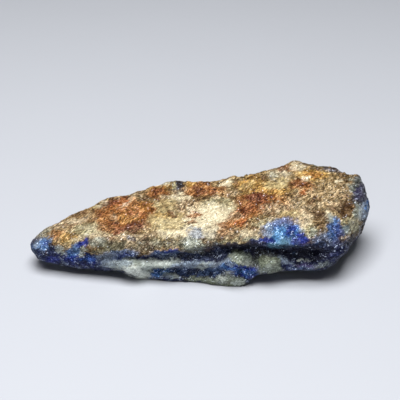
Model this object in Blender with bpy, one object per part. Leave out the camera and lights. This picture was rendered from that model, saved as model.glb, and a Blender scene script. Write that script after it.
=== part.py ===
"""Rough afghanite: one broken, wedge-shaped stone, about 54 mm long, 19 mm deep and 13 mm high.

The stone lies along X with its thin tip at -X and its blunt end at +X. Its weathered face looks up and a
little towards -Y, its layered broken edge looks to -Y, and it rests on a small flat spot on the Z = 0 plane.
It is made as a ball whose circles become the stone's cross-sections: each cross-section runs through feature
lines that are measured on the stone, such as the lip of the ledge or the back ridge.
"""

import math

import bmesh
import bpy
from mathutils import Vector, noise

MM = 0.001

# Ends of the stone, in millimetres
TIP = (-26.6, -1.9, 3.3)
BLUNT_END = (27.1, 4.6, 6.6)
CROSS_SECTIONS = 150
END_CROWDING = 0.35

# Fineness of the carved body, and the triangles kept when it is thinned to what the shape needs
SPAN_FINENESS = 2
KEPT_TRIANGLES = 8800

# Feature lines, each with its number of mesh spans to the next line and its knots (x, y, z) in millimetres.
# They go round the stone from the front of the underside, up the broken edge, over the top and down the back.
FEATURE_LINES = {
    "toe": (3, [
        (-26.3, -2.6, 2.6), (-25.0, -4.3, 1.9), (-19.4, -5.5, 1.2), (-11.9, -5.9, 0.8), (-10.8, -5.9, -0.3),
        (-3.2, -7.2, -0.3), (0.6, -7.6, -0.3), (3.5, -8.6, -0.3), (6.3, -8.7, -0.3), (8.8, -8.0, 1.5),
        (11.5, -7.9, 2.1), (18.8, -7.7, 2.2), (20.5, -6.3, 2.5), (23.4, -2.3, 3.1), (25.6, 0.9, 4.0),
        (26.7, 3.6, 5.6),
    ]),
    "lower_rib": (2, [
        (-26.4, -2.8, 3.0), (-25.0, -5.0, 2.7), (-19.4, -6.1, 2.2), (-12.2, -6.7, 1.6), (-10.5, -7.0, 1.0),
        (-3.2, -7.9, 0.7), (2.0, -8.5, 0.8), (6.5, -9.1, 0.9), (9.0, -8.8, 2.2), (18.8, -8.2, 2.8),
        (20.8, -6.6, 3.3), (25.6, 0.6, 4.7), (26.8, 3.6, 5.9),
    ]),
    "lower_groove": (3, [
        (-26.4, -2.9, 3.3), (-25.0, -5.2, 3.4), (-19.4, -6.3, 3.0), (-12.5, -7.6, 2.4), (-9.5, -7.4, 1.8),
        (-7.0, -6.4, 2.0), (0.0, -6.8, 2.1), (3.0, -8.4, 2.2), (7.5, -8.9, 2.4), (9.5, -8.7, 2.9),
        (13.0, -7.6, 3.3), (18.8, -7.9, 3.4), (21.0, -6.6, 4.1), (25.7, 0.4, 5.2), (26.8, 3.6, 6.1),
    ]),
    "pale_rib": (3, [
        (-26.4, -3.0, 3.5), (-25.0, -5.3, 4.0), (-19.4, -6.4, 3.8), (-12.5, -8.0, 3.3), (-8.0, -8.0, 3.0),
        (-2.0, -8.2, 3.2), (2.0, -8.9, 3.9), (5.0, -9.5, 4.0), (7.6, -7.9, 4.0), (10.3, -9.2, 3.8),
        (13.5, -7.4, 4.3), (17.0, -7.5, 4.4), (19.4, -7.6, 4.5), (21.3, -6.5, 4.9), (25.8, 0.2, 5.7),
        (26.9, 3.7, 6.3),
    ]),
    "upper_groove": (3, [
        (-26.4, -3.0, 3.8), (-25.0, -5.0, 4.5), (-19.4, -5.9, 4.4), (-14.0, -6.8, 4.2), (-7.5, -6.8, 4.2),
        (-2.0, -6.9, 4.9), (2.0, -6.9, 5.6), (6.0, -6.9, 6.1), (9.5, -6.9, 6.0), (14.0, -6.8, 5.6),
        (18.8, -7.1, 5.5), (21.5, -6.0, 5.7), (25.9, 0.3, 6.3), (26.9, 3.7, 6.6),
    ]),
    "lip": (2, [
        (-26.4, -2.9, 4.0), (-24.6, -4.6, 5.3), (-21.3, -6.0, 5.5), (-14.3, -7.8, 5.3), (-7.5, -8.4, 5.4),
        (-3.7, -8.7, 6.2), (0.0, -8.8, 6.8), (7.4, -9.2, 7.6), (12.6, -9.6, 7.3), (16.5, -9.4, 7.0),
        (19.2, -8.6, 6.5), (21.8, -6.8, 6.6), (23.6, -4.3, 6.8), (25.9, -0.2, 7.1), (26.9, 3.7, 6.9),
    ]),
    "shelf": (5, [
        (-26.3, -2.5, 4.1), (-24.2, -3.6, 6.0), (-21.0, -4.6, 6.6), (-14.3, -5.8, 7.0), (-7.5, -6.2, 7.5),
        (0.0, -6.5, 8.2), (6.0, -6.8, 8.6), (9.5, -7.2, 9.4), (12.8, -7.2, 9.8), (16.5, -7.2, 9.5),
        (19.2, -6.6, 9.8), (22.0, -4.6, 9.1), (24.2, -1.6, 9.0), (26.0, 1.0, 8.2), (26.9, 3.9, 7.2),
    ]),
    "low_slope": (5, [
        (-26.3, -2.2, 4.1), (-24.0, -2.2, 6.1), (-20.4, -2.2, 6.8), (-15.0, -2.2, 7.7), (-8.0, -2.2, 8.3),
        (0.0, -2.4, 8.7), (6.0, -2.6, 9.4), (12.5, -2.7, 11.2), (18.5, -2.6, 11.1), (22.4, -1.6, 10.4),
        (24.8, 0.6, 9.6), (26.2, 2.2, 8.6), (26.9, 4.1, 7.3),
    ]),
    "high_slope": (5, [
        (-26.3, -1.9, 4.1), (-24.0, -1.0, 5.8), (-20.2, -0.2, 6.8), (-15.0, 1.2, 8.0), (-8.0, 1.9, 9.1),
        (0.0, 1.8, 9.5), (6.0, 1.9, 10.4), (13.0, 2.3, 12.2), (18.5, 2.3, 12.1), (22.6, 2.0, 11.2),
        (25.0, 3.0, 10.2), (26.4, 3.6, 8.9), (27.0, 4.4, 7.4),
    ]),
    "ridge": (3, [
        (-26.3, -1.6, 3.8), (-25.2, -0.6, 4.3), (-23.5, 0.5, 4.9), (-19.6, 2.4, 6.5), (-15.6, 4.5, 7.7),
        (-14.2, 5.2, 8.2), (-11.4, 5.0, 8.3), (-10.5, 5.4, 8.7), (-5.9, 6.3, 9.9), (-3.4, 6.5, 10.3),
        (1.4, 5.8, 10.4), (8.8, 6.9, 11.6), (12.5, 7.3, 12.3), (15.2, 8.0, 13.1), (20.6, 7.2, 12.6),
        (23.0, 6.4, 11.9), (25.2, 6.8, 11.0), (26.3, 6.1, 9.5), (27.0, 4.9, 7.3),
    ]),
    "back_brow": (3, [
        (-26.3, -1.2, 3.8), (-23.5, 1.7, 4.3), (-19.6, 3.4, 5.4), (-14.4, 6.2, 6.6), (-6.0, 7.7, 7.9),
        (1.4, 7.3, 8.4), (9.0, 8.2, 9.4), (15.2, 9.3, 10.8), (21.0, 8.7, 10.2), (24.8, 7.7, 9.2),
        (26.2, 6.5, 8.2), (27.0, 5.0, 6.9),
    ]),
    "back_wall": (3, [
        (-26.3, -1.0, 3.5), (-23.0, 1.9, 3.5), (-18.6, 4.2, 4.1), (-11.0, 6.6, 5.0), (-4.0, 8.2, 5.2),
        (3.5, 7.8, 5.6), (10.0, 8.9, 6.3), (16.5, 9.5, 7.2), (22.0, 8.6, 7.2), (25.0, 7.4, 7.0),
        (26.3, 6.4, 6.8), (27.0, 5.0, 6.6),
    ]),
    "heel": (3, [
        (-26.3, -1.1, 3.1), (-23.0, 1.2, 2.5), (-18.0, 3.6, 2.4), (-11.0, 5.6, 2.4), (-4.0, 7.0, 2.0),
        (3.5, 7.2, 2.4), (11.0, 7.6, 2.4), (17.0, 8.3, 3.8), (22.0, 7.5, 4.5), (25.0, 6.5, 5.1),
        (26.3, 5.9, 5.7), (27.0, 4.8, 6.2),
    ]),
    "sole_back": (4, [
        (-26.3, -1.5, 2.8), (-22.0, -0.2, 1.8), (-16.0, 1.4, 1.3), (-11.0, 2.4, 0.3), (-4.0, 3.4, -0.3),
        (3.5, 4.0, -0.3), (11.5, 4.2, -0.3), (15.5, 4.2, 1.4), (20.0, 4.6, 3.0), (24.4, 4.6, 4.2),
        (26.3, 4.9, 5.4), (27.0, 4.5, 6.0),
    ]),
    "sole_front": (4, [
        (-26.3, -2.0, 2.6), (-22.0, -2.6, 1.5), (-16.0, -2.2, 1.0), (-11.4, -2.0, -0.1), (-4.0, -2.4, -0.3),
        (3.5, -2.6, -0.3), (10.5, -2.4, -0.3), (14.0, -2.2, 1.3), (19.5, -1.8, 2.4), (24.2, 1.2, 3.7),
        (26.2, 3.8, 5.1), (27.0, 4.2, 5.9),
    ]),
}

# Swellings (+) and scoops (-) on the stone: centre x, y, z, reach and height, in millimetres
LUMPS = [
    (-10.3, -8.0, 3.0, 2.8, 0.75),
    (15.5, -7.6, 4.6, 3.2, -0.55),
    (-1.0, -7.6, 2.2, 3.0, -0.5),
    (4.6, -9.2, 4.3, 2.8, 0.55),
    (10.4, -9.0, 4.1, 2.6, 0.65),
    (7.6, -8.4, 4.4, 1.7, -1.0),
    (12.6, -8.6, 8.8, 3.4, -0.7),
    (20.0, -6.4, 9.6, 1.8, -0.4),
    (17.6, -5.3, 10.3, 2.0, -0.6),
    (22.1, -2.6, 10.2, 2.0, -0.6),
    (19.9, -3.8, 10.6, 1.5, 0.3),
    (23.2, -2.6, 9.4, 1.9, 0.45),
    (-22.5, -5.0, 5.6, 1.6, 0.3),
    (-12.8, 3.8, 8.3, 1.8, 0.35),
    (-13.5, -1.0, 7.9, 4.0, 0.35),
    (1.5, -2.5, 8.9, 4.5, -0.35),
    (9.5, 1.5, 10.9, 3.0, 0.35),
    (15.0, 7.5, 12.8, 2.2, 0.25),
    (24.9, 6.9, 10.6, 1.3, 0.45),
    (26.2, 3.8, 8.7, 1.8, -0.35),
    (-17.5, 4.5, 4.2, 2.6, -0.5),
    (6.0, 8.4, 6.6, 3.2, -0.6),
    (19.5, 9.2, 8.6, 2.6, 0.5),
]

# Broken flats that cut the body: a point of the flat in millimetres, and the way it faces
FLATS = [
    ((26.5, 4.7, 9.8), (0.78, 0.12, 0.61)),
    ((21.8, 9.0, 9.8), (0.35, 0.90, 0.25)),
    ((10.0, 8.9, 6.5), (-0.06, 0.98, -0.18)),
    ((-4.0, 7.8, 6.0), (-0.12, 0.97, 0.2)),
    ((-17.0, 3.9, 4.2), (-0.35, 0.93, 0.05)),
    ((18.0, 5.0, 2.9), (0.3, 0.35, -0.89)),
    ((-17.0, 0.5, 1.5), (-0.1, 0.25, -0.96)),
]
FLAT_SHARE = 0.85

# Broken chips, each a shallow tilted scar: size and depth in millimetres, coarse ones first
CHIPS = [(5.2, 1.05), (2.0, 0.42)]
CHIP_HOLLOW = 0.4
CHIP_WANDER = 0.25
# Added back, so that the scars cut no deeper on the whole than the stone's measured outline
CHIP_SETBACK = 0.12
# Fine unevenness between the chips, in millimetres
CRUMB_SIZE = 1.2
CRUMB_DEPTH = 0.10
# The layered front edge is broken more smoothly than the rest: where it starts, and its share of roughness
LAYERED_FROM_Y = -6.0
LAYERED_BELOW_Z = 7.5
LAYERED_ROUGHNESS = 0.75
# The roughness dies away this far from the two ends
END_FADE = 2.0
NOISE_SEED = 11

STONE_COLOUR = (0.52, 0.42, 0.27, 1.0)


def clear_scene():
    for old in list(bpy.data.objects):
        bpy.data.objects.remove(old)


def along(knots, x):
    """The feature line's (y, z) at x, straight between its knots."""
    if x <= knots[0][0]:
        return knots[0][1:]
    for (x0, y0, z0), (x1, y1, z1) in zip(knots, knots[1:]):
        if x <= x1:
            share = (x - x0) / (x1 - x0)
            return y0 + (y1 - y0) * share, z0 + (z1 - z0) * share
    return knots[-1][1:]


def cross_section(x):
    """The points of one cross-section, in order round the stone."""
    corners = [(spans * SPAN_FINENESS, along(knots, x)) for spans, knots in FEATURE_LINES.values()]
    points = []
    for (spans, (y0, z0)), (_, (y1, z1)) in zip(corners, corners[1:] + corners[:1]):
        for step in range(spans):
            share = step / spans
            points.append(Vector((x, y0 + (y1 - y0) * share, z0 + (z1 - z0) * share)))
    return points


def section_place(ring):
    """x of a cross-section: evenly spread, with the sections crowded a little towards the two ends."""
    share = ring / CROSS_SECTIONS
    eased = (1 - math.cos(math.pi * share)) / 2
    share += (eased - share) * END_CROWDING
    return TIP[0] + (BLUNT_END[0] - TIP[0]) * share


def lay_sections(bm, round_count):
    """Moves each circle of the ball to its cross-section, and the two poles to the stone's ends."""
    circles = {}
    poles = []
    for vert in bm.verts:
        ring = round(math.acos(max(-1.0, min(1.0, -vert.co.z))) / math.pi * CROSS_SECTIONS)
        if ring in (0, CROSS_SECTIONS):
            poles.append((ring, vert))
        else:
            turn = math.atan2(vert.co.y, vert.co.x) / math.tau
            circles.setdefault(ring, []).append((round(turn * round_count) % round_count, vert))
    for ring, members in circles.items():
        points = cross_section(section_place(ring))
        for place, vert in members:
            vert.co = points[place]
    for ring, vert in poles:
        vert.co = Vector(BLUNT_END if ring else TIP)


def lump_height(point):
    height = 0.0
    for x, y, z, reach, rise in LUMPS:
        away = (point - Vector((x, y, z))).length / reach
        if away < 1:
            height += rise * (1 - away * away) ** 2
    return height


def chip_height(point, size, depth):
    """Height of the broken scar at a point. Each Voronoi cell is a scar, and the scars meet in ridges."""
    place = point / size
    distances, centres = noise.voronoi(place)
    heights = []
    for distance, centre in zip(distances, centres):
        tilt = noise.cell_vector(centre) - Vector((0.5, 0.5, 0.5))
        heights.append(CHIP_HOLLOW * distance * distance + tilt.dot(place - centre))
    return depth * min(heights)


def roughness_share(point):
    share = LAYERED_ROUGHNESS if point.y < LAYERED_FROM_Y and point.z < LAYERED_BELOW_Z else 1.0
    to_end = min(point.x - TIP[0], BLUNT_END[0] - point.x)
    return share * min(1.0, max(0.0, to_end / END_FADE))


def relief(point):
    """How far the surface stands out at a point, in millimetres: lumps, scoops, chips and crumbs."""
    bent = point + noise.noise_vector(point / CRUMB_SIZE) * CHIP_WANDER
    chips = sum(chip_height(bent, size, depth) for size, depth in CHIPS)
    crumbs = CRUMB_DEPTH * noise.fractal(point / CRUMB_SIZE, 1.0, 2.0, 3)
    return lump_height(point) + (chips + crumbs + CHIP_SETBACK) * roughness_share(point)


def break_flats(bm):
    """Presses what stands out past each broken flat back onto it."""
    for place, facing in FLATS:
        place = Vector(place)
        facing = Vector(facing).normalized()
        for vert in bm.verts:
            out = (vert.co - place).dot(facing)
            if out > 0:
                vert.co -= facing * out * FLAT_SHARE


def roughen(bm):
    bm.normal_update()
    moves = [(vert, vert.normal * relief(vert.co)) for vert in bm.verts]
    for vert, move in moves:
        vert.co += move


def thin_out(bm):
    """The same body with fewer triangles: large ones on its flats and small ones at its edges."""
    bmesh.ops.triangulate(bm, faces=bm.faces)
    fine_mesh = bpy.data.meshes.new("fine_body")
    bm.to_mesh(fine_mesh)
    fine_body = bpy.data.objects.new("fine_body", fine_mesh)
    bpy.context.scene.collection.objects.link(fine_body)
    decimate = fine_body.modifiers.new("thin", "DECIMATE")
    decimate.ratio = KEPT_TRIANGLES / len(bm.faces)
    depsgraph = bpy.context.evaluated_depsgraph_get()
    thinned = bpy.data.meshes.new_from_object(fine_body.evaluated_get(depsgraph))
    bm.clear()
    bm.from_mesh(thinned)
    bpy.data.objects.remove(fine_body)


def cut_foot(bm):
    """Cuts the underside flat where the stone rests."""
    bmesh.ops.bisect_plane(
        bm, geom=bm.verts[:] + bm.edges[:] + bm.faces[:], dist=1e-5,
        plane_co=(0, 0, 0), plane_no=(0, 0, -1), clear_outer=True)
    rim = [edge for edge in bm.edges if edge.is_boundary]
    bmesh.ops.holes_fill(bm, edges=rim, sides=0)


def stand_at_origin(bm):
    """Puts the middle of the body's box over the origin, and its foot on the Z = 0 plane."""
    low = [min(vert.co[axis] for vert in bm.verts) for axis in range(3)]
    high = [max(vert.co[axis] for vert in bm.verts) for axis in range(3)]
    middle_of_foot = ((low[0] + high[0]) / 2, (low[1] + high[1]) / 2, low[2])
    bmesh.ops.translate(bm, vec=[-value for value in middle_of_foot], verts=bm.verts)


def stone_material():
    material = bpy.data.materials.new("stone")
    material.use_nodes = True
    shader = material.node_tree.nodes["Principled BSDF"]
    shader.inputs["Base Color"].default_value = STONE_COLOUR
    shader.inputs["Roughness"].default_value = 0.75
    shader.inputs["Metallic"].default_value = 0.0
    return material


def make_stone():
    round_count = sum(spans for spans, _ in FEATURE_LINES.values()) * SPAN_FINENESS
    bm = bmesh.new()
    bmesh.ops.create_uvsphere(bm, u_segments=round_count, v_segments=CROSS_SECTIONS, radius=1.0)
    lay_sections(bm, round_count)
    for _ in range(3):
        bmesh.ops.smooth_vert(
            bm, verts=bm.verts, factor=0.5, use_axis_x=False, use_axis_y=True, use_axis_z=True)
    bmesh.ops.recalc_face_normals(bm, faces=bm.faces)
    break_flats(bm)
    noise.seed_set(NOISE_SEED)
    roughen(bm)
    thin_out(bm)
    cut_foot(bm)
    bmesh.ops.triangulate(bm, faces=bm.faces)
    bmesh.ops.recalc_face_normals(bm, faces=bm.faces)
    stand_at_origin(bm)
    bmesh.ops.scale(bm, vec=(MM, MM, MM), verts=bm.verts)
    mesh = bpy.data.meshes.new("afghanite_stone")
    bm.to_mesh(mesh)
    bm.free()
    mesh.materials.append(stone_material())
    stone = bpy.data.objects.new("afghanite_stone", mesh)
    bpy.context.scene.collection.objects.link(stone)
    return stone


clear_scene()
make_stone()
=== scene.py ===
"""Rough afghanite: one broken, wedge-shaped stone lying on a pale table.

The stone is marble with rust in its cracks, a few blue patches, and a front edge of navy and pale green
layers.
"""

import math

import bmesh
import bpy
import numpy as np
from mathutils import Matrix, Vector, noise
from mathutils.bvhtree import BVHTree


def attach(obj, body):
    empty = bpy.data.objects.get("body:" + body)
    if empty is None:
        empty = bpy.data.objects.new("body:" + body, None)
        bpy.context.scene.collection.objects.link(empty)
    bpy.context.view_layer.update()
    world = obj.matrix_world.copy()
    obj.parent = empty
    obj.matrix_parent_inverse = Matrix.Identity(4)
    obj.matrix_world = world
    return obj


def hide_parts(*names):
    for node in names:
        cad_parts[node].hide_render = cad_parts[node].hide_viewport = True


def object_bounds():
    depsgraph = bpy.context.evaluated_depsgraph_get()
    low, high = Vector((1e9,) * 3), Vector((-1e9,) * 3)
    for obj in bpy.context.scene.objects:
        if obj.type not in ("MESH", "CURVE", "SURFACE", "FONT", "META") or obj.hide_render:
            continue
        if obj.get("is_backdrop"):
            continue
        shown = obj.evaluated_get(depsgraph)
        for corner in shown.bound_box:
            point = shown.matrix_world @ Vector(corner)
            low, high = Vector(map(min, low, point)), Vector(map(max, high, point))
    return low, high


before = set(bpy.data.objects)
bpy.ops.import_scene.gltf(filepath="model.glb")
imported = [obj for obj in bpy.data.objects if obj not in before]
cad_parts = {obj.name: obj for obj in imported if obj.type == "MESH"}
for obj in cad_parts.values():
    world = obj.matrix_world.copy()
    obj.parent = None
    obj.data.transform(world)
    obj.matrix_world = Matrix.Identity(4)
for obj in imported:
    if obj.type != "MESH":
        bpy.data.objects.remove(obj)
cad_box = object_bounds()
scene = bpy.context.scene
MM = 0.001


# Camera
# The photograph was taken from in front and a little above, with a long lens close to the stone.
# Its place is named here first, because the stone's markings are found by where they show in the photograph.
PHOTO_PIXELS = 400
LENS_MM = 100.0
SENSOR_MM = 36.0
LOOKS_DOWN = math.radians(28.0)
CAMERA_DISTANCE = 0.172
AIM = Vector((-0.00028, 0.0001, 0.0102))

towards_camera = Vector((0.0, -math.cos(LOOKS_DOWN), math.sin(LOOKS_DOWN)))
camera = bpy.data.objects.new("camera", bpy.data.cameras.new("camera"))
scene.collection.objects.link(camera)
camera.data.lens = LENS_MM
camera.data.sensor_width = SENSOR_MM
camera.data.clip_start = MM
camera.location = AIM + towards_camera * CAMERA_DISTANCE
camera.rotation_mode = "QUATERNION"
camera.rotation_quaternion = (-towards_camera).to_track_quat("-Z", "Y")
scene.camera = camera


def pixels_of(points):
    """Where points, an array in metres, show in the photograph: pixel columns and pixel rows."""
    away = points - np.array(camera.location)
    up = np.array((0.0, math.sin(LOOKS_DOWN), math.cos(LOOKS_DOWN)))
    depth = -(away @ np.array(towards_camera))
    focal = LENS_MM / SENSOR_MM * PHOTO_PIXELS
    columns = PHOTO_PIXELS / 2 + focal * away[:, 0] / depth
    rows = PHOTO_PIXELS / 2 - focal * (away @ up) / depth
    return columns, rows


# Table
# The stone lies on a smooth, cool white surface that runs out of the view on all sides.
# One large square, with a matt finish and a very faint mottle.
TABLE_SIZE = 1.6
TABLE_COLOUR = (0.440, 0.455, 0.492, 1.0)
TABLE_ROUGHNESS = (0.47, 0.53)
MOTTLES_PER_METRE = 60.0


def new_material(name):
    """An empty node material with its shader, and the function that adds a node to it."""
    material = bpy.data.materials.new(name)
    material.use_nodes = True
    nodes = material.node_tree.nodes
    links = material.node_tree.links

    def add(kind, inputs=None, **settings):
        node = nodes.new(kind)
        for key, value in settings.items():
            setattr(node, key, value)
        for key, value in (inputs or {}).items():
            if isinstance(value, bpy.types.NodeSocket):
                links.new(value, node.inputs[key])
            else:
                node.inputs[key].default_value = value
        return node

    return material, nodes["Principled BSDF"], add, links


bm = bmesh.new()
bmesh.ops.create_grid(bm, x_segments=1, y_segments=1, size=TABLE_SIZE / 2)
table_mesh = bpy.data.meshes.new("table")
bm.to_mesh(table_mesh)
bm.free()
table = bpy.data.objects.new("table", table_mesh)
scene.collection.objects.link(table)

material, shader, add, links = new_material("table_top")
place = add("ShaderNodeTexCoord").outputs["Object"]
mottle = add("ShaderNodeTexNoise", {"Vector": place, "Scale": MOTTLES_PER_METRE, "Detail": 4.0})
smooth, rough = TABLE_ROUGHNESS
roughness = add("ShaderNodeMapRange", {"Value": mottle.outputs["Fac"], "To Min": smooth, "To Max": rough})
shader.inputs["Base Color"].default_value = TABLE_COLOUR
links.new(roughness.outputs["Result"], shader.inputs["Roughness"])
table_mesh.materials.append(material)
table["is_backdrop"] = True


# Light
# A large soft lamp hangs over the stone, a little to the left and in front. A pale board stands low in front
# and throws some of the light back at the stone's front edge, and pale walls add a faint even light.
LAMP_SIZE = 0.26
LAMP_PLACE = Vector((-0.025, -0.07, 0.35))
LAMP_WATTS = 2.65
BOARD_SIZE = 0.1
BOARD_PLACE = Vector((-0.06, -0.44, 0.055))
BOARD_WATTS = 0.3
WALL_LIGHT = (0.92, 0.96, 1.0, 1.0)
WALL_STRENGTH = 0.05


def soft_light(name, size, place, watts):
    """A square area light that faces the stone."""
    light = bpy.data.objects.new(name, bpy.data.lights.new(name, "AREA"))
    light.data.size = size
    light.data.energy = watts
    light.location = place
    light.rotation_mode = "QUATERNION"
    light.rotation_quaternion = (-place).to_track_quat("-Z", "Y")
    scene.collection.objects.link(light)


soft_light("lamp", LAMP_SIZE, LAMP_PLACE, LAMP_WATTS)
soft_light("pale_board", BOARD_SIZE, BOARD_PLACE, BOARD_WATTS)
world = bpy.data.worlds.new("walls")
world.use_nodes = True
world.node_tree.nodes["Background"].inputs["Color"].default_value = WALL_LIGHT
world.node_tree.nodes["Background"].inputs["Strength"].default_value = WALL_STRENGTH
scene.world = world
scene.view_settings.view_transform = "Standard"


# Stone, its body
# One natural piece of rock. Its form is the frame's own solid, made again with even, grain-sized faces, so
# that every crystal grain, pit and thin layer of the broken surface can stand out or lie back in the mesh.
SAME_POINT = 0.001 * MM
GRID = 0.18 * MM
SOFTEN_PASSES = 3

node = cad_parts["afghanite_stone"]
bm = bmesh.new()
bm.from_mesh(node.data)
bmesh.ops.remove_doubles(bm, verts=bm.verts, dist=SAME_POINT)
mesh = bpy.data.meshes.new("stone_form")
bm.to_mesh(mesh)
bm.free()
stone = bpy.data.objects.new("rough_stone", mesh)
scene.collection.objects.link(stone)
remesh = stone.modifiers.new("grains", "REMESH")
remesh.mode = "VOXEL"
remesh.voxel_size = GRID
fine = bpy.data.meshes.new_from_object(stone.evaluated_get(bpy.context.evaluated_depsgraph_get()))
stone.modifiers.clear()
stone.data = fine
fine.name = "rough_stone"
bm = bmesh.new()
bm.from_mesh(fine)
for _ in range(SOFTEN_PASSES):
    bmesh.ops.smooth_vert(bm, verts=bm.verts, factor=0.5, use_axis_x=True, use_axis_y=True, use_axis_z=True)
bmesh.ops.recalc_face_normals(bm, faces=bm.faces)
bm.to_mesh(fine)
tree = BVHTree.FromBMesh(bm)
bm.free()

count = len(fine.vertices)
points = np.zeros(count * 3)
fine.vertices.foreach_get("co", points)
points = points.reshape(-1, 3)
normals = np.zeros(count * 3)
fine.vertices.foreach_get("normal", normals)
normals = normals.reshape(-1, 3)
vectors = [Vector(p) for p in points / MM]
noise.seed_set(5)


# Stone, its minerals
# The weathered top is sugary marble, stained by rust. Blue crystals sit in it in patches, and the broken
# front edge is layered with navy and pale green. Each mineral has a colour (red, green and blue to 255, as
# it looks under the lamp), then how grainy its break is, how waxy, and how many painted glints (highlights
# painted into the colour) it has, to 1.
# Night, slate, chalk and pale green are colours of the rock, and some of their patches on the front are also
# laid as painted shade or painted light, where noted.
MINERALS = {
    "tan": ((151, 125, 82), 1.0, 0.0, 0.1),
    "pale_tan": ((186, 161, 124), 0.9, 0.0, 0.12),
    "cream": ((240, 226, 190), 0.22, 0.15, 0.05),
    "yellow_cream": ((204, 184, 132), 0.36, 0.1, 0.05),
    "straw": ((182, 174, 134), 0.7, 0.0, 0.1),
    "ochre": ((196, 151, 74), 0.9, 0.0, 0.1),
    "orange": ((168, 90, 32), 0.9, 0.0, 0.12),
    "rust": ((158, 95, 37), 1.0, 0.0, 0.15),
    "dark_rust": ((104, 44, 18), 1.0, 0.0, 0.2),
    "vein": ((220, 160, 108), 0.8, 0.0, 0.4),
    "brown": ((92, 64, 32), 0.85, 0.0, 0.2),
    "umber": ((114, 106, 84), 1.0, 0.0, 0.2),
    "olive": ((72, 74, 54), 0.8, 0.0, 0.15),
    "grey": ((154, 160, 146), 0.7, 0.1, 0.3),
    "mist": ((150, 166, 186), 0.4, 0.4, 0.15),
    "slate": ((60, 61, 76), 1.0, 0.0, 1.0),
    "pale_green": ((187, 197, 190), 0.15, 0.9, 0.0),
    "chalk": ((240, 247, 238), 0.15, 0.7, 0.0),
    "moss": ((124, 132, 110), 0.35, 0.5, 0.1),
    "steel": ((66, 92, 134), 0.75, 0.3, 0.8),
    "navy": ((26, 34, 76), 0.7, 0.2, 0.85),
    "night": ((17, 18, 40), 0.4, 0.2, 0.4),
    "indigo": ((32, 44, 124), 0.6, 0.3, 0.5),
    "royal": ((7, 36, 134), 0.65, 0.3, 0.5),
    "blue": ((68, 120, 186), 0.7, 0.3, 0.9),
    "sky": ((88, 148, 198), 0.35, 0.5, 0.4),
    "teal": ((90, 134, 160), 0.3, 0.5, 0.2),
    "violet": ((104, 98, 148), 0.4, 0.4, 0.4),
}

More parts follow.
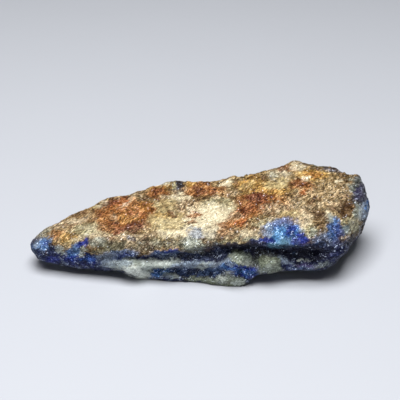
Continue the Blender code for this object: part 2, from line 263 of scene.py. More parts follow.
# Where each mineral shows: pixel column and row of the patch's middle in the photograph, its half length and
# half width in pixels, how far its right end is turned up in degrees, and how much of the rock there it is.
PATCHES = [
    # The tan marble of the top, from the tip to the blunt end
    ("straw", 92, 230, 20, 7, 0, 0.8), ("cream", 90, 228, 12, 2.5, 0, 0.35),
    ("grey", 45, 231, 14, 4, 25, 0.5), ("pale_tan", 60, 225, 9, 3, 25, 0.8),
    ("pale_tan", 76, 222, 12, 4, 18, 0.9), ("cream", 77, 221, 9, 2.5, 18, 0.3),
    ("rust", 90, 214, 14, 6, 20, 0.2), ("yellow_cream", 96, 206, 6, 3, 20, 0.9),
    ("pale_tan", 101, 204, 7, 2.5, 20, 0.7), ("cream", 101, 204, 6, 3, 20, 0.55),
    ("rust", 58, 235, 8, 5, 0, 0.6), ("ochre", 69, 238, 8, 6, 0, 0.65), ("straw", 72, 241, 6, 4, 0, 0.4),
    ("chalk", 87, 236, 4, 2.5, 0, 0.35), ("pale_tan", 322, 198, 24, 12, 0, 0.25),
    ("pale_tan", 342, 189, 10, 8, 0, 0.5),
    # The rust field at the left, with its dark rim and pale vein
    ("rust", 124, 214, 28, 14, 8, 0.9), ("rust", 148, 214, 11, 12, 0, 0.8),
    ("rust", 110, 229, 13, 4, 0, 0.7), ("dark_rust", 120, 199, 12, 3.5, 3, 0.55),
    ("orange", 104, 209, 10, 3, 10, 0.3), ("orange", 118, 202, 13, 3.5, 5, 0.55),
    ("ochre", 128, 219, 12, 4, 0, 0.35), ("ochre", 141, 206, 10, 6, 0, 0.2),
    ("vein", 134, 205, 6, 3, 20, 0.35), ("dark_rust", 108, 203, 9, 3, 15, 0.5),
    ("pale_tan", 112, 217, 3, 5, 20, 0.5), ("vein", 138, 214, 7, 3, 20, 0.25),
    ("vein", 127, 203.5, 12, 2, 40, 0.55), ("cream", 128, 202, 10, 1.1, 40, 0.4),
    ("dark_rust", 130, 228, 15, 4, 8, 0.8), ("dark_rust", 117, 233, 5, 2.5, 0, 0.7),
    ("dark_rust", 146, 223, 8, 3, 10, 0.5), ("dark_rust", 136, 212, 9, 3, 10, 0.35),
    # The pale band and the olive bevel below it
    ("pale_tan", 126, 237, 30, 3.5, 2, 0.8), ("cream", 132, 236, 18, 2, 0, 0.2),
    ("pale_tan", 100, 236, 12, 3.5, 0, 0.8), ("cream", 99, 235, 11, 2.5, 0, 0.3),
    ("grey", 97, 243, 9, 5, 0, 0.65), ("pale_green", 97, 242, 8, 4, 0, 0.2),
    ("olive", 114, 246, 14, 6, 0, 0.8), ("umber", 142, 245, 20, 7, 3, 0.85),
    ("slate", 130, 238, 6, 1.8, 0, 0.75), ("olive", 103, 251, 12, 1.8, 0, 0.75),
    ("straw", 166, 242, 16, 5, 0, 0.25), ("grey", 168, 244, 18, 3.5, 0, 0.3),
    ("brown", 140, 249, 9, 2.5, 20, 0.5), ("pale_tan", 130, 244, 6, 2.5, 30, 0.4),
    # The back edge of the top, with its dark spot
    ("brown", 145, 196, 11, 5, 0, 0.3), ("pale_tan", 137, 193, 6, 3, 20, 0.6),
    ("ochre", 160, 186, 11, 4, 10, 0.6), ("rust", 158, 192, 10, 6, 10, 0.85),
    ("dark_rust", 156, 191, 5, 3, 60, 0.5), ("pale_tan", 164, 196, 5, 2.5, 0, 0.7),
    ("ochre", 171, 188, 4, 4, 0, 0.5), ("grey", 166, 183, 9, 2, 8, 0.6), ("straw", 174, 187, 3, 4, 0, 0.8),
    ("slate", 178, 191, 8, 3, -10, 0.6), ("umber", 182, 193, 6, 2.5, 0, 0.5),
    ("tan", 182, 194, 8, 3, 0, 0.7), ("night", 180, 185, 4.5, 6, 0, 0.9),
    # The yellow and cream heart of the top
    ("yellow_cream", 168, 222, 21, 12, 0, 0.85), ("cream", 170, 226, 16, 7, 0, 0.15),
    ("yellow_cream", 167, 204, 11, 7, 0, 0.6), ("cream", 180, 198, 11, 5, 0, 0.65),
    ("pale_tan", 185, 206, 13, 5, 0, 0.8), ("straw", 222, 205, 20, 7, 0, 0.75),
    ("cream", 209, 217, 24, 12, 8, 0.97), ("cream", 188, 233, 11, 6, 0, 0.85),
    ("chalk", 190, 241, 8, 3.5, 0, 0.4), ("umber", 172, 244, 14, 4, 5, 0.55),
    ("cream", 168, 234, 16, 4, 0, 0.65), ("grey", 210, 234, 8, 8, 0, 0.5),
    ("cream", 178, 235, 8, 4, 0, 0.6), ("mist", 196, 234, 8, 6, 0, 0.7), ("cream", 208, 233, 7, 5, 0, 0.4),
    ("grey", 194, 246, 13, 6.5, 0, 0.9), ("brown", 187, 203, 6, 1.5, 0, 0.6),
    ("dark_rust", 172, 213, 4.5, 3.2, -20, 0.7), ("ochre", 163, 215, 8, 3, 0, 0.5),
    ("cream", 217, 224, 8, 4.5, 10, 0.9), ("rust", 194, 214.5, 6.5, 3, 10, 0.85),
    ("brown", 189, 223, 9, 1.8, 5, 0.8), ("rust", 194, 222, 4, 1.8, 5, 0.5),
    ("olive", 182, 243, 5, 5, 0, 0.5),
    # Rust and pale spots behind the cream
    ("rust", 200, 190, 15, 7, 0, 0.8), ("dark_rust", 202, 191, 6, 3, 0, 0.6),
    ("brown", 201, 198, 5, 2.5, 0, 0.6), ("ochre", 192, 185, 5, 3, 0, 0.7),
    ("rust", 216, 189, 10, 4, 0, 0.5), ("pale_tan", 214, 197, 5, 3, 0, 0.7),
    ("cream", 226, 184, 7, 4, 0, 0.75), ("rust", 226, 195, 8, 3, 0, 0.2),
    ("pale_tan", 232, 194, 7, 3, 5, 0.6),
    # The dark rust that runs from the middle of the top down to the front
    ("rust", 262, 201, 26, 11, 5, 0.8), ("rust", 248, 212, 22, 8, 25, 0.8),
    ("dark_rust", 256, 196, 9, 7, 0, 0.9), ("dark_rust", 262, 205, 12, 3, 10, 0.5),
    ("dark_rust", 246, 212, 8, 5, 40, 0.5), ("vein", 252, 203, 7, 4, 30, 0.1),
    ("vein", 246, 227, 12, 2, 22, 0.35), ("rust", 233, 224, 14, 4, 8, 0.75),
    ("orange", 239, 222, 9, 3, 15, 0.55), ("pale_tan", 277, 208, 17, 5, 5, 0.85),
    ("brown", 263, 213, 5, 3, 0, 0.4), ("pale_tan", 237, 216, 5, 3, 0, 0.6),
    ("pale_tan", 272, 214, 8, 3.5, 5, 0.8),
    # Ochre and cream near the high back corner
    ("ochre", 250, 184, 14, 8, 10, 0.85), ("yellow_cream", 246, 187, 8, 3, 10, 0.5),
    ("brown", 256, 180, 6, 2.5, 0, 0.5), ("ochre", 275, 189, 16, 7, 0, 0.8),
    ("yellow_cream", 277, 185, 13, 5, 5, 0.9), ("brown", 286, 188, 2.5, 2, 0, 0.8),
    ("cream", 279, 174, 11, 5, 0, 0.5), ("grey", 273, 175, 4, 4, 40, 0.5),
    ("dark_rust", 284, 168, 7, 2.5, 8, 0.6), ("vein", 293, 168, 5, 3, 0, 0.6),
    ("cream", 299, 166, 8, 5, 0, 0.6), ("ochre", 312, 175, 17, 5, -3, 0.85),
    ("cream", 305, 179, 5, 2.5, 0, 1.0), ("brown", 315, 167, 15, 3, -10, 0.6),
    ("orange", 313, 175, 8, 2.5, 0, 0.4),
    # Brown and tan towards the blunt end, with the two pitted hollows
    ("rust", 303, 185, 14, 5, -5, 0.7), ("dark_rust", 300, 183, 8, 2.5, -5, 0.5),
    ("orange", 302, 194, 4, 3.5, 0, 0.8), ("pale_tan", 295, 199, 6, 5, 0, 0.5),
    ("brown", 318, 219, 8.5, 10, 0, 0.75), ("brown", 346, 209, 7, 9.5, 0, 0.95),
    ("brown", 328, 206, 4, 2, 0, 0.7), ("pale_tan", 335, 205, 7, 5, 0, 0.85),
    ("pale_tan", 308, 208, 6, 4, 0, 0.7), ("tan", 333, 187, 8, 4, 0, 0.8),
    ("pale_tan", 345, 195, 6, 3.5, 0, 0.7), ("cream", 330, 214, 4, 5, 0, 0.6),
    ("pale_tan", 302, 219, 10, 11, 0, 0.95), ("tan", 311, 222, 6, 4, 0, 0.7),
    ("cream", 303, 221, 8, 9, 0, 0.5), ("straw", 308, 231, 8, 6, 0, 0.85),
    ("yellow_cream", 290, 214, 9, 4, 0, 0.5), ("straw", 262, 223, 12, 2.5, 15, 0.6),
    ("brown", 345, 177, 6, 4, -20, 0.6), ("cream", 338, 182, 6, 1.2, 24, 1.0),
    # The cream and pink front of the top, above the dark undercut
    ("pale_tan", 228, 233, 11, 5, 0, 0.7), ("vein", 224, 231, 6, 3, 0, 0.4),
    ("brown", 218, 236, 6, 4, 0, 0.55), ("brown", 237, 237, 7, 2.5, 0, 0.4),
    ("olive", 217, 243, 8, 3, 10, 0.85), ("straw", 232, 241, 9, 3, 0, 0.6),
    ("cream", 249, 234, 9, 4, 0, 0.5), ("slate", 212, 244, 8, 2.5, 12, 0.5),
    ("grey", 250, 239, 11, 2.5, 0, 0.7), ("straw", 250, 239, 9, 2.2, 0, 0.5),
    # The slate and green edge at the right end
    ("straw", 351, 224, 9, 9, 0, 0.8), ("grey", 353, 228, 8, 7, 0, 0.5), ("cream", 353, 222, 5, 6, 0, 0.25),
    ("grey", 357, 210, 5, 9, 0, 0.9), ("slate", 333, 170, 10, 3.5, -15, 0.75),
    ("olive", 312, 163, 14, 2, -12, 0.7), ("slate", 376, 215, 14, 40, 0, 1.0),
    ("slate", 360, 189, 9, 16, -12, 0.95), ("night", 358, 187, 5, 9, -10, 0.65),
    ("night", 361, 199, 4.5, 7, 0, 0.6), ("grey", 352, 186, 3, 8, 0, 0.6),
    ("violet", 360, 192, 5, 8, -10, 0.2), ("grey", 358, 182, 4, 6, -20, 0.3),
    ("mist", 364, 210, 4.5, 9, 0, 0.9), ("blue", 367, 207, 3, 6, 0, 0.8),
    ("chalk", 360, 214, 2.5, 6, 0, 0.4), ("slate", 363, 230, 2.5, 8, -25, 0.7),
    ("brown", 346, 209, 6, 9, 0, 0.75), ("brown", 348, 216, 4, 4, 0, 0.7),
    # The large blue patch with its pale, hollow middle
    ("navy", 284, 237, 22, 7, 3, 0.8), ("mist", 263, 230, 6, 6, 0, 0.4),
    ("blue", 281, 229, 17, 9.5, 0, 0.9), ("royal", 277, 223, 9, 3, 0, 0.5),
    ("mist", 270, 231, 5, 6, -30, 0.6), ("chalk", 268, 226, 4, 1.3, 60, 0.45),
    ("chalk", 271, 235, 3.5, 1.2, 50, 0.4), ("mist", 284, 222, 14, 4, 0, 0.35),
    ("violet", 289, 222, 8, 4, 0, 0.5), ("navy", 257, 241, 11, 2.6, 5, 1.0),
    ("royal", 269, 240, 8, 3.5, 0, 0.9), ("sky", 279, 235, 8, 6, 0, 0.75),
    ("sky", 286, 241, 9, 2.6, 0, 0.6), ("blue", 293, 233, 8, 6, 0, 0.9),
    ("royal", 290, 231, 5, 5, 30, 0.85), ("royal", 301, 238, 6.5, 5, 0, 0.97),
    ("teal", 283, 244.5, 15, 3.4, 0, 1.0), ("royal", 299, 243, 9, 2.5, 0, 0.75),
    ("steel", 296, 246, 10, 1.6, 0, 0.6), ("mist", 302, 230, 3.5, 3, 0, 0.5),
    ("indigo", 306, 242, 5, 2, 0, 0.6),
    # The second blue patch and the dark sparkling rock round it
    ("steel", 326, 241, 15, 7, 0, 0.8), ("mist", 322, 235, 6, 4, 0, 0.3),
    ("teal", 344, 231, 4.5, 6, 0, 0.6), ("blue", 334, 229, 7, 12, 0, 0.9),
    ("royal", 338, 232, 7, 8, 20, 0.6), ("slate", 335, 233, 8, 9, 0, 0.25),
    ("pale_green", 330, 218, 3.5, 5, 0, 0.7), ("pale_green", 347, 232, 3, 4, 0, 0.5),
    ("indigo", 341, 244, 8, 4, 0, 0.6), ("slate", 331, 243, 12, 5, 0, 0.5),
    ("navy", 336, 246, 13, 4, 8, 0.55), ("slate", 350, 241, 7, 5, 40, 0.85),
    ("navy", 344, 246, 7, 3, 30, 0.7), ("grey", 313, 233, 4, 4, 0, 0.7),
    # The dark undercut below the lip: the near-black night patches there are painted shadow under the lip's
    # overhang
    ("night", 300, 253, 46, 8, 0, 0.9), ("night", 236, 246, 28, 3.2, 3, 0.95),
    ("navy", 203, 255, 28, 6.5, 4, 0.97), ("steel", 203, 256, 26, 5, 4, 0.35),
    ("slate", 203, 256, 26, 5, 4, 0.35), ("navy", 190, 260.5, 9, 2, 0, 0.6),
    ("night", 217, 256, 9, 3, 0, 0.6), ("grey", 193, 251, 13, 2, 0, 0.5),
    ("navy", 334, 255, 10, 6, 30, 0.8), ("chalk", 299, 259, 1.6, 1.2, 0, 0.7),
    ("chalk", 306, 261, 4, 2.2, 0, 0.25), ("steel", 294, 254, 2.5, 1.5, 0, 0.6),
    ("mist", 321, 266, 12, 2.6, 13, 0.5), ("grey", 323, 265.5, 9, 2.4, 15, 0.5),
    ("violet", 288, 263, 9, 2.4, -34, 0.45), ("violet", 303, 266, 13, 1.8, -3, 0.75),
    ("mist", 285, 261, 10, 2.8, -34, 0.85), ("navy", 288, 267, 9, 2.4, -8, 0.9),
    ("steel", 300, 269, 14, 1.2, 0, 0.35), ("mist", 276, 257, 5, 3, -20, 0.4),
    # The thin dark blue layer under the bevel, from the tip to the middle
    ("steel", 122, 254, 16, 5, 4, 0.85), ("royal", 124, 256, 10, 2.5, 4, 0.5),
    ("mist", 108, 256, 11, 3, 0, 0.7), ("navy", 165, 254, 16, 3.5, 6, 0.9),
    ("indigo", 165, 252, 12, 2.2, 8, 0.8), ("steel", 163, 254, 16, 4, 4, 0.65),
    ("mist", 167, 256, 12, 2, 0, 0.45), ("royal", 170, 251, 7, 1.8, 10, 0.5),
    ("navy", 147, 257, 12, 2, 2, 0.9),
    # The pale green layer and its lumps
    ("mist", 108, 263, 10, 5, 0, 0.85), ("pale_green", 112, 264, 7, 3, 0, 0.4),
    ("pale_green", 134, 265, 24, 6, 0, 0.97), ("pale_green", 163, 263, 18, 4.5, 0, 0.97),
    # The chalk patch low at column 138 is painted light: it lightens the lower lump, whose surface faces
    # down.
    ("chalk", 158, 261, 14, 2.5, 0, 0.4), ("chalk", 138, 272, 13, 6.5, -20, 1.0),
    ("moss", 128, 263, 14, 4, 0, 0.45), ("mist", 120, 263, 12, 4, 0, 0.5),
    ("mist", 195, 266, 24, 4.2, 0, 1.0), ("pale_green", 205, 266, 11, 2.6, 10, 0.8),
    ("mist", 221, 262.5, 13, 3, 20, 0.8), ("pale_green", 235, 264, 7, 2, 0, 0.6),
    ("moss", 241, 258, 13.5, 7.5, -16, 0.98), ("pale_green", 232, 257, 6, 5, 10, 0.3),
    ("pale_green", 245, 256, 8, 4, -20, 0.35), ("chalk", 246, 262, 8, 4, -18, 0.45),
    # Painted light and shade on the second lump: night and slate patches at its top and in the hollow at its
    # left are painted shade, and pale green on its lower part and right side is painted light.
    ("moss", 258, 266, 9, 9, 0, 0.55), ("violet", 256, 267, 6, 5, 0, 0.3), ("grey", 254, 262, 4, 6, 0, 0.4),
    ("moss", 267, 262, 13, 9.5, -30, 0.95), ("moss", 270, 268, 12, 4.5, 0, 0.9),
    ("pale_green", 268, 269, 13, 3.5, 3, 0.45), ("night", 255, 251, 4, 6, 0, 0.8),
    ("pale_green", 274, 263, 4, 3, -30, 0.25), ("slate", 265, 254, 12, 3.5, 0, 0.75),
    ("olive", 265, 259, 6, 4, 0, 0.4), ("night", 257, 255, 3, 5, 0, 0.4),
    ("slate", 255, 260, 3.5, 9, 0, 0.5),
    # The dark layer and the blue and green foot below it
    ("navy", 192, 271, 34, 4, 1, 0.95), ("steel", 196, 272, 26, 3, 2, 0.45),
    ("blue", 160, 273, 10, 4, 8, 0.85), ("pale_green", 147, 269, 6, 3, 0, 0.8),
    ("royal", 156, 273, 6, 2.5, 20, 0.4), ("steel", 172, 270, 14, 1.8, 3, 0.5),
    ("pale_green", 172, 276, 9, 2.5, -10, 0.8), ("mist", 167, 278, 7, 2, 0, 0.8),
    ("moss", 208, 280, 22, 4, -5, 0.95), ("slate", 206, 277, 10, 1.8, 0, 0.5),
    ("moss", 228, 281, 18, 6, 0, 0.95), ("pale_green", 226, 276, 13, 4.5, 15, 0.45),
    ("slate", 221, 281, 7, 1.2, 10, 0.4), ("chalk", 225, 275, 8, 1.6, 30, 0.5),
    ("chalk", 236, 282, 6, 1.6, -10, 0.4), ("steel", 210, 271, 12, 3.5, 12, 0.6),
    ("blue", 229, 266, 10, 3.5, 8, 0.75), ("royal", 243, 271, 16, 5.5, -20, 0.97),
    ("blue", 238, 270, 9, 3, -14, 0.55), ("blue", 247, 274, 6, 3, -14, 0.5),
    ("steel", 252, 274, 6, 3, 20, 0.6), ("mist", 231, 264, 4, 1.5, 0, 0.8),
    ("pale_green", 238, 281, 7, 2.5, 0, 0.7),
    # The blue tip
    ("steel", 40, 247, 11, 10, 0, 0.8), ("mist", 39, 245, 6, 6, 0, 0.85), ("mist", 46, 239, 6, 2.5, 0, 0.8),
    ("blue", 45, 243, 6, 5, 0, 0.7), ("royal", 46, 243, 3.2, 3.2, 0, 0.7), ("blue", 42, 248, 4, 2, 0, 0.5),
    ("navy", 53, 250, 6, 5, 0, 0.9), ("navy", 40, 255, 7, 4.5, -40, 0.85),
    ("pale_green", 61, 249, 6, 3.5, -20, 0.7), ("navy", 60, 256, 10, 2.5, -12, 0.85),
    ("indigo", 51, 260, 8, 4.5, -10, 0.97), ("mist", 64, 261, 5, 2.5, -20, 0.8),
    ("navy", 34, 241, 3, 4, 50, 0.5), ("brown", 45, 252, 2, 2, 0, 0.6),
    # The blue streak and the blue layer beside it
    ("royal", 81, 261, 18, 5.5, -3, 0.8), ("navy", 80, 263, 16, 3.5, -6, 0.75),
    ("blue", 88, 259, 10, 2.5, 0, 0.3), ("blue", 76, 250, 9, 5, 30, 0.95),
    ("mist", 75, 249, 7, 3.5, 30, 0.5), ("sky", 74, 251, 6, 3, 30, 0.4), ("cream", 79, 238, 6, 3, 20, 0.4),
    ("royal", 84.5, 243.5, 5.5, 3.2, 45, 0.95), ("royal", 73, 252, 4, 3, 30, 0.5),
    ("grey", 85, 250, 5, 3, 20, 0.8), ("grey", 82, 254, 5, 2, 0, 0.6),
]
PATCH_EDGE = 0.3

# The lip between the stained top and the layered front: as pixel columns and rows in the photograph, and as
# places along the stone and heights, both in millimetres
LIP_IN_PHOTO = [
    (25, 240), (40, 243), (60, 249), (80, 253), (105, 255), (125, 256), (150, 255), (175, 252),
    (200, 251), (225, 247), (250, 244), (268, 243), (285, 246), (306, 245), (325, 243), (340, 244),
    (352, 240), (366, 232),
]
LIP_HEIGHTS = [
    (-26, 4.2), (-18, 4.8), (-8, 5.0), (0, 6.2), (7, 7.0), (12, 6.9), (18, 6.4), (23, 6.0), (26, 6.0),
]
LIP_EDGE_PIXELS = 0.5
LIP_EDGE = 0.4


def noise_values(size, share=1.0, stretch=(1.0, 1.0, 1.0), start=0.0):
    """Smooth noise from about -1 to 1 at every point, with features of a size in millimetres.

    The start shifts a pattern, so that it doesn't follow another one.
    """
    shift = Vector((start, start, start))
    scale = [1.0 / (size * s) for s in stretch]
    found = [noise.noise(Vector((v.x * scale[0], v.y * scale[1], v.z * scale[2])) + shift) for v in vectors]
    return np.array(found) * share


def smooth_step(values, low, high):
    """A share that rises smoothly from 0 to 1 as the values go from low to high."""
    share = np.clip((values - low) / (high - low), 0.0, 1.0)
    return share * share * (3 - 2 * share)


# The lamp makes a surface look this many times as light as its own colour
LAMP_GAIN = 1.65


def linear(colour):
    """The shares of the light, from 0 to 1, that a surface gives back if it looks a colour from 0 to 255."""
    value = np.array(colour) / 255
    return np.where(value <= 0.04045, value / 12.92, ((value + 0.055) / 1.055) ** 2.4) / LAMP_GAIN


# A patch's rim wanders: each wave of it has a size in millimetres, and a reach in pixels sideways and
# upwards. Each grain near a rim belongs to one side or the other.
WANDER = [(2.4, 3.6, 2.16), (0.9, 3.0, 1.8)]
GRAIN_SIZE = 0.42
GRAIN_STRAY = 1.5

columns, rows = pixels_of(points)
for size, sideways, upwards in WANDER:
    columns = columns + noise_values(size, sideways, start=11.3)
    rows = rows + noise_values(size, upwards, start=47.1)
grain_random = np.array([noise.cell_vector(noise.voronoi(v / GRAIN_SIZE)[1][0] * 7.0) for v in vectors])
columns = columns + (grain_random[:, 0] - 0.5) * 2 * GRAIN_STRAY
rows = rows + (grain_random[:, 1] - 0.5) * 2 * GRAIN_STRAY


def make_up(mineral):
    """What a point of one mineral is made of: its colour, then its grain, wax and share of painted glints.
    """
    colour, grain, wax, painted_glints = MINERALS[mineral]
    return np.array([*linear(colour), grain, wax, painted_glints])


def lay(mix, mineral, cover):
    """Covers a share of each point's make-up with a mineral."""
    return mix + (make_up(mineral) - mix) * cover[:, None]


def oval_reach(column, row, half_length, half_width, turn):
    """How far each point lies from the middle of an oval in the photograph: 0 there, and 1 on its rim."""
    turn = math.radians(turn)
    along = (columns - column) * math.cos(turn) - (rows - row) * math.sin(turn)
    across = (columns - column) * math.sin(turn) + (rows - row) * math.cos(turn)
    return np.sqrt((along / half_length) ** 2 + (across / half_width) ** 2)


seen_side = np.tile(make_up("tan"), (count, 1))
lip_rows = np.interp(columns, *zip(*LIP_IN_PHOTO))
seen_side = lay(seen_side, "navy", smooth_step(rows - lip_rows, -LIP_EDGE_PIXELS, LIP_EDGE_PIXELS))
for mineral, *oval, share in PATCHES:
    outside = smooth_step(oval_reach(*oval), 1 - PATCH_EDGE, 1 + PATCH_EDGE)
    seen_side = lay(seen_side, mineral, share * (1 - outside))

# The sides that the photograph doesn't show: stained marble above, dark and pale layers below. Each stain or
# layer has a size in millimetres, the noise level from which it shows, and how much of the rock there it is.
STAINS = [
    ("pale_tan", 5.0, 0.05, 0.8), ("rust", 4.2, 0.12, 0.85), ("cream", 5.5, 0.22, 0.8),
    ("ochre", 3.0, 0.25, 0.7), ("dark_rust", 2.2, 0.3, 0.7), ("slate", 3.6, 0.28, 0.8),
    ("blue", 3.0, 0.45, 0.8), ("royal", 1.6, 0.5, 0.8),
]
STAIN_STRETCH = (1.6, 1.0, 1.0)
STAIN_EDGE = 0.06
RAGGED_SHARE = 0.35
BLUNT_END_FROM = 24.0
BLUNT_END_EDGE = 0.6
BLUNT_END_SLATE = 0.85
LAYERS = [
    ("pale_green", 0.7, 0.05, 0.9), ("steel", 0.5, 0.12, 0.7), ("indigo", 0.6, 0.15, 0.8),
    ("moss", 0.9, 0.2, 0.8),
]
LAYER_STRETCH = (12.0, 6.0, 1.6)
LAYER_EDGE = 0.05

far_side = np.tile(make_up("tan"), (count, 1))
for order, (mineral, size, level, share) in enumerate(STAINS):
    field = noise_values(size, start=90.0 + 13 * order, stretch=STAIN_STRETCH)
    field = field + noise_values(size / 3, RAGGED_SHARE, start=340.0 + 13 * order)
    far_side = lay(far_side, mineral, share * smooth_step(field, level - STAIN_EDGE, level + STAIN_EDGE))
blunt_end = points[:, 0] / MM + noise_values(1.5, 1.2, start=83.0)
blunt_end = smooth_step(blunt_end, BLUNT_END_FROM, BLUNT_END_FROM + BLUNT_END_EDGE)
far_side = lay(far_side, "slate", BLUNT_END_SLATE * blunt_end)
layered = np.tile(make_up("navy"), (count, 1))
for order, (mineral, size, level, share) in enumerate(LAYERS):
    field = noise_values(size, start=200.0 + 17 * order, stretch=LAYER_STRETCH)
    layered = lay(layered, mineral, share * smooth_step(field, level - LAYER_EDGE, level + LAYER_EDGE))
below = np.interp(points[:, 0] / MM, *zip(*LIP_HEIGHTS)) - points[:, 2] / MM
low = smooth_step(below + noise_values(4.0, 1.6, start=31.0), -LIP_EDGE, LIP_EDGE)[:, None]
far_side = far_side * (1 - low) + layered * low

# A point is on the seen side if it faces the camera. The groove behind the lip faces the camera too, but the
# lip hides it, and it is layered like the far side.
SEEN_FROM = (-0.30, -0.10)
START_OFF = 0.05 * MM
GROOVE_FRONT = -4.5 * MM
GROOVE_TOP = 8.0 * MM

facing = normals @ np.array(towards_camera) + noise_values(1.2, 0.12, start=61.0)
seen = smooth_step(facing, *SEEN_FROM)
hidden = np.zeros(count)
for i in np.flatnonzero(seen > 0):
    ray = camera.location - Vector(points[i])
    start = Vector(points[i]) + ray.normalized() * START_OFF + Vector(normals[i]) * START_OFF
    hidden[i] = tree.ray_cast(start, ray)[0] is not None
groove = hidden * (points[:, 1] < GROOVE_FRONT) * (points[:, 2] < GROOVE_TOP)
mix = far_side * (1 - seen[:, None]) + seen_side * seen[:, None]
mix = mix * (1 - groove[:, None]) + layered * groove[:, None]
tint = mix[:, :3]
grain = mix[:, 3]
wax = mix[:, 4]
painted_glints = mix[:, 5]

# Between the grains the rock is darker and redder, and some clusters of grains are bleached
MOTTLES = [(0.55, 0.65), (1.3, 0.5)]
DARK_FROM = (0.02, 0.34)
PALE_FROM = (0.10, 0.42)
DARKENED = np.array((0.48, 0.38, 0.31))
BLEACHED_POWER = 0.62
BLEACHED_SHARE = 0.60

mottle = sum(noise_values(size, share, start=71.0) for size, share in MOTTLES)
dark = smooth_step(-mottle, *DARK_FROM) * grain
pale = smooth_step(mottle, *PALE_FROM) * grain
tint = tint * (1 - dark[:, None] * (1 - DARKENED))
tint = tint + (tint ** BLEACHED_POWER - tint) * (pale * BLEACHED_SHARE)[:, None]


# Stone, its swollen layers
# The harder layers of the front swell out of it, in lumps and soft ribs, below the lip and nowhere else.
# Each swelling: pixel column and row of its middle in the photograph, half length and half width in pixels,
# how far its right end is turned up in degrees, and how far it stands out in millimetres.
SWELLINGS = [
    (240, 260, 15, 10, -8, 1.0), (246, 257, 9, 6, -20, 0.4), (257, 268, 10, 6, 0, 0.4),
    (280, 266, 9, 5, -30, 0.35), (140, 268, 18, 9, -14, 0.35), (163, 264, 22, 5, 0, 0.75),
    (196, 266, 24, 4.5, 0, 0.55), (222, 261, 14, 4.5, 16, 0.45), (322, 264, 14, 4, 12, 0.4),
    (238, 272, 16, 6, -12, 0.3), (222, 280, 24, 7, -4, 0.35), (286, 260, 9, 2.5, -36, 0.25),
    (158, 273, 12, 5, 8, 0.3), (330, 252, 24, 9, 14, 1.5),
]
OUTWARD = np.array((0.0, -0.95, 0.25))
SWELLING_SLOPE = 0.65
FACES_FRONT = (-0.2, 0.2)
BELOW_LIP = (-0.6, 1.0)
FRONT_PASSES = 30
BULGE_PASSES = 8

edge_ends = np.zeros(len(fine.edges) * 2, dtype=np.int32)
fine.edges.foreach_get("vertices", edge_ends)
edge_ends = edge_ends.reshape(-1, 2)
neighbours = np.bincount(edge_ends.ravel(), minlength=count)


def evened(values, passes):
    """Evens values out over the surface: a pass gives each point the mean of itself and its neighbours."""
    for _ in range(passes):
        total = values + np.bincount(edge_ends[:, 0], values[edge_ends[:, 1]], count)
        total += np.bincount(edge_ends[:, 1], values[edge_ends[:, 0]], count)
        values = total / (neighbours + 1)
    return values


columns, rows = pixels_of(points)
layered_front = smooth_step(-normals[:, 1], *FACES_FRONT) * (points[:, 1] < 0)
layered_front = evened(layered_front * smooth_step(below, *BELOW_LIP), FRONT_PASSES)
bulge = sum(smooth_step(1 - oval_reach(*oval), 0.0, SWELLING_SLOPE) * height for *oval, height in SWELLINGS)
points += OUTWARD * (evened(bulge * layered_front, BULGE_PASSES) * MM)[:, None]


# Stone, its broken surface
# Grains and clusters of grains stand out or lie back by up to about a tenth of a millimetre. Rust and marble
# have pits where grains fell out, and the smooth layers have thin ledges along the bedding. The sizes, steps
# and depths are in millimetres.
GRAIN_STEP = 0.075
CLUSTER_SIZE = 1.15
CLUSTER_STEP = 0.12
CLUSTERS_ON_SMOOTH = 0.35
FACET_LIFT = 0.6
FACET_TILT = 1.6
PIT_SIZE = 1.5
PIT_DEPTH = 0.28
PIT_SHARE = 0.35
PIT_RADII = (0.22, 0.47)
PITTED_FROM = (0.6, 0.95)
LEDGE_SPACING = 0.75
LEDGE_STEP = 0.07
LEDGED_UP_TO = (0.5, 0.9)


def facet_heights(size):
    """Height of tilted facets, one to each cell of a Voronoi pattern, from about -1 to 1."""
    heights = np.zeros(count)
    for i, v in enumerate(vectors):
        place = v / size
        centre = noise.voronoi(place)[1][0]
        tilt = noise.cell_vector(centre * 5.0)
        lift = tilt.x + tilt.y - 1.0
        slope = (tilt - Vector((0.5, 0.5, 0.5))).dot(place - centre)
        heights[i] = lift * FACET_LIFT + slope * FACET_TILT
    return heights


def pit_depths():
    """How deep the pits are at each point, from 0 to 1."""
    depths = np.zeros(count)
    for i, v in enumerate(vectors):
        place = v / PIT_SIZE
        distances, centres = noise.voronoi(place)
        chance = noise.cell_vector(centres[0] * 9.0)
        if chance.x < PIT_SHARE:
            radius = PIT_RADII[0] + (PIT_RADII[1] - PIT_RADII[0]) * chance.y
            depths[i] = max(0.0, 1 - (distances[0] / radius) ** 2)
    return depths


rise = facet_heights(GRAIN_SIZE) * GRAIN_STEP * grain
rise += facet_heights(CLUSTER_SIZE) * CLUSTER_STEP * (CLUSTERS_ON_SMOOTH + (1 - CLUSTERS_ON_SMOOTH) * grain)
rise -= pit_depths() * PIT_DEPTH * smooth_step(grain, *PITTED_FROM)
bedding = points[:, 2] / MM / LEDGE_SPACING + noise_values(6.0, 1.6, stretch=(2.0, 1.0, 1.0), start=5.0)
rise += (bedding % 1.0) * LEDGE_STEP * (1 - smooth_step(grain, *LEDGED_UP_TO))
points += normals * rise[:, None] * MM
points[:, 2] = np.maximum(points[:, 2], 0.0)
fine.vertices.foreach_set("co", points.ravel())


def store(name, values, kind="FLOAT"):
    """Keeps a value of each point in the mesh, for the finish to read."""
    attribute = fine.attributes.new(name, kind, "POINT")
    attribute.data.foreach_set("value" if kind == "FLOAT" else "color", values.astype(np.float32).ravel())


store("tint", np.column_stack([tint, np.ones(count)]), "FLOAT_COLOR")
store("grain", grain)
store("wax", wax)
store("painted_glints", painted_glints)
fine.update()
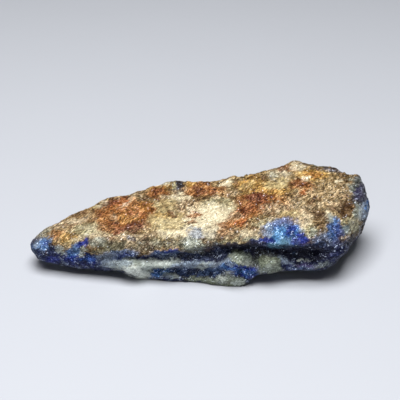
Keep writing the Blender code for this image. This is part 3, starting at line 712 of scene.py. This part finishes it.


# Stone, its finish
# Each tiny crystal has its own brightness and its own shine, and now and then one has a painted glint, a
# highlight painted into its colour. They are drawn out along the cleavage, which slants across the top. The
# waxy layers let a little light in.
CLEAVAGE_TURN = (0.0, 0.0, math.radians(47.0))
COARSE_CRYSTAL = (0.22 * MM, (2.6, 0.75, 0.75))
SMALL_CRYSTAL = (0.135 * MM, (1.9, 0.85, 0.85))
FLAKE = (0.19 * MM, (2.0, 0.8, 0.7))
COARSE_BRIGHTNESS = (0.40, 1.60)
SMALL_BRIGHTNESS = (0.18, 1.82)
BLOTCH_SIZE = 1.6 * MM
BLOTCH_RANGE = (0.3, 0.7)
BLOTCH_BRIGHTNESS = (0.76, 1.24)
SMOOTH_SHARE = 0.75
# Painted shade of pores: some small crystals are darkened where pores lie between the grains.
PORE_SIZE = 0.8 * MM
PORE_RANGE = (0.28, 0.55)
PORE_SHADE_SHARE = 0.35
PORE_SHADE_DARKNESS = 0.40
# Painted glints: highlights added to the colour of some small crystals, in loose clusters.
GLINT = (0.46, 0.53, 0.64)
GLINT_GAIN = (1.5, 1.5, 1.5)
GLINT_SHARE = 0.5
GLINT_CLUSTER_SIZE = 0.9 * MM
GLINT_CLUSTER_RANGE = (0.50, 0.72)
SUGAR = 0.05
SUGAR_FROM = 1.1
ROUGHNESS = (0.28, 0.72)
DOME = -0.6
DOME_LIFT = 0.5
SMOOTH_BUMP = 0.25
BUMP_STRENGTH = 0.9
BUMP_HEIGHT = 0.08 * MM
GLOSS = 0.1
WAX_GLOW = 0.3
WAX_GLOW_DEPTH = 0.7 * MM

material, shader, add, links = new_material("afghanite")
place = add("ShaderNodeTexCoord").outputs["Object"]
colour = add("ShaderNodeAttribute", attribute_name="tint").outputs["Color"]
grainy = add("ShaderNodeAttribute", attribute_name="grain").outputs["Fac"]
waxy = add("ShaderNodeAttribute", attribute_name="wax").outputs["Fac"]
painted_glint_amount = add("ShaderNodeAttribute", attribute_name="painted_glints").outputs["Fac"]


def calculate(operation, first, second):
    """One step of arithmetic on two of the material's values."""
    return add("ShaderNodeMath", {0: first, 1: second}, operation=operation).outputs[0]


def calculate_vector(operation, inputs):
    """One step of arithmetic on the material's colours."""
    return add("ShaderNodeVectorMath", inputs, operation=operation).outputs["Vector"]


def spread(value, low, high, from_low=0.0, from_high=1.0):
    """A value that goes from low to high as the one given goes from from_low to from_high."""
    inputs = {"Value": value, "From Min": from_low, "From Max": from_high, "To Min": low, "To Max": high}
    return add("ShaderNodeMapRange", inputs).outputs["Result"]


def crystals(size, squash):
    """Crystals drawn out along the cleavage: three random values each, and the distance to their middles."""
    turned = {"Vector": place, "Rotation": CLEAVAGE_TURN, "Scale": squash}
    squashed = add("ShaderNodeMapping", turned, vector_type="TEXTURE").outputs["Vector"]
    cells = add("ShaderNodeTexVoronoi", {"Vector": squashed, "Scale": 1 / size, "Randomness": 1.0})
    parts = add("ShaderNodeSeparateColor", {"Color": cells.outputs["Color"]})
    return parts.outputs, cells.outputs["Distance"]


coarse, _ = crystals(*COARSE_CRYSTAL)
small, small_distance = crystals(*SMALL_CRYSTAL)
flakes, _ = crystals(*FLAKE)
blotches = {"Vector": place, "Scale": 1 / BLOTCH_SIZE, "Detail": 5.0, "Roughness": 0.6}
blotch = add("ShaderNodeTexNoise", blotches).outputs["Fac"]
brightness = spread(coarse[0], *COARSE_BRIGHTNESS)
brightness = calculate("MULTIPLY", brightness, spread(small[0], *SMALL_BRIGHTNESS))
brightness = calculate("MULTIPLY", brightness, spread(blotch, *BLOTCH_BRIGHTNESS, *BLOTCH_RANGE))

# A smooth mineral shows less of the crystals. In grainy rock some small crystals are darkened, as painted
# shade of the pores between the grains.
plain = calculate("MULTIPLY", calculate("SUBTRACT", 1.0, grainy), SMOOTH_SHARE)
brightness = calculate("ADD", calculate("MULTIPLY", brightness, calculate("SUBTRACT", 1.0, plain)), plain)
pore_shade_chance = add("ShaderNodeTexNoise", {"Vector": place, "Scale": 1 / PORE_SIZE, "Detail": 2.0}).outputs["Fac"]
pore_shade_chance = calculate("MULTIPLY", spread(grainy, 0.1, PORE_SHADE_SHARE), spread(pore_shade_chance, 1.0, 0.0, *PORE_RANGE))
pore_shade = calculate("LESS_THAN", flakes[1], pore_shade_chance)
brightness = calculate("MULTIPLY", brightness, spread(pore_shade, 1.0, PORE_SHADE_DARKNESS))
varied = calculate_vector("SCALE", {0: colour, "Scale": brightness})

# In loose clusters some small crystals get a painted glint, a highlight added to their colour, and the
# brightest crystals are as pale as sugar
clusters = add("ShaderNodeTexNoise", {"Vector": place, "Scale": 1 / GLINT_CLUSTER_SIZE, "Detail": 2.0})
clusters = spread(clusters.outputs["Fac"], 0.0, 1.0, *GLINT_CLUSTER_RANGE)
chance = calculate("MULTIPLY", calculate("MULTIPLY", painted_glint_amount, clusters), GLINT_SHARE)
painted_glint_mask = calculate("LESS_THAN", small[2], chance)
painted_glint_mask = calculate("MULTIPLY", painted_glint_mask, spread(flakes[2], 0.1, 1.0))
painted_glint_colour = calculate_vector("MULTIPLY_ADD", {0: colour, 1: GLINT_GAIN, 2: GLINT})
glint = calculate_vector("SCALE", {0: painted_glint_colour, "Scale": painted_glint_mask})
very_bright = calculate("MAXIMUM", calculate("SUBTRACT", brightness, SUGAR_FROM), 0.0)
sugar = calculate("MULTIPLY", very_bright, SUGAR)
finished = calculate_vector("ADD", {0: varied, 1: glint})
finished = calculate_vector("ADD", {0: finished, 1: sugar})
links.new(finished, shader.inputs["Base Color"])
links.new(spread(coarse[2], *ROUGHNESS), shader.inputs["Roughness"])

# Each small crystal is a low dome at a height of its own
domes = calculate("MULTIPLY", small_distance, DOME)
bumps = calculate("ADD", domes, calculate("MULTIPLY", small[2], DOME_LIFT))
bumps = calculate("MULTIPLY", bumps, spread(grainy, SMOOTH_BUMP, 1.0))
bump = add("ShaderNodeBump", {"Height": bumps, "Strength": BUMP_STRENGTH, "Distance": BUMP_HEIGHT})
links.new(bump.outputs["Normal"], shader.inputs["Normal"])
links.new(calculate("MULTIPLY", waxy, WAX_GLOW), shader.inputs["Subsurface Weight"])
shader.inputs["Subsurface Radius"].default_value = (1.0, 1.0, 0.9)
shader.inputs["Subsurface Scale"].default_value = WAX_GLOW_DEPTH
shader.inputs["Specular IOR Level"].default_value = GLOSS
stone.data.materials.clear()
stone.data.materials.append(material)
stone.data.shade_smooth()

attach(stone, "root")
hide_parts("afghanite_stone")


# Size
# The box of the frame's solid and the box of the finished stone, kept side by side.
boxes = {"cad": cad_box, "visual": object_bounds()}
boxes = {name: [list(corner) for corner in box] for name, box in boxes.items()}
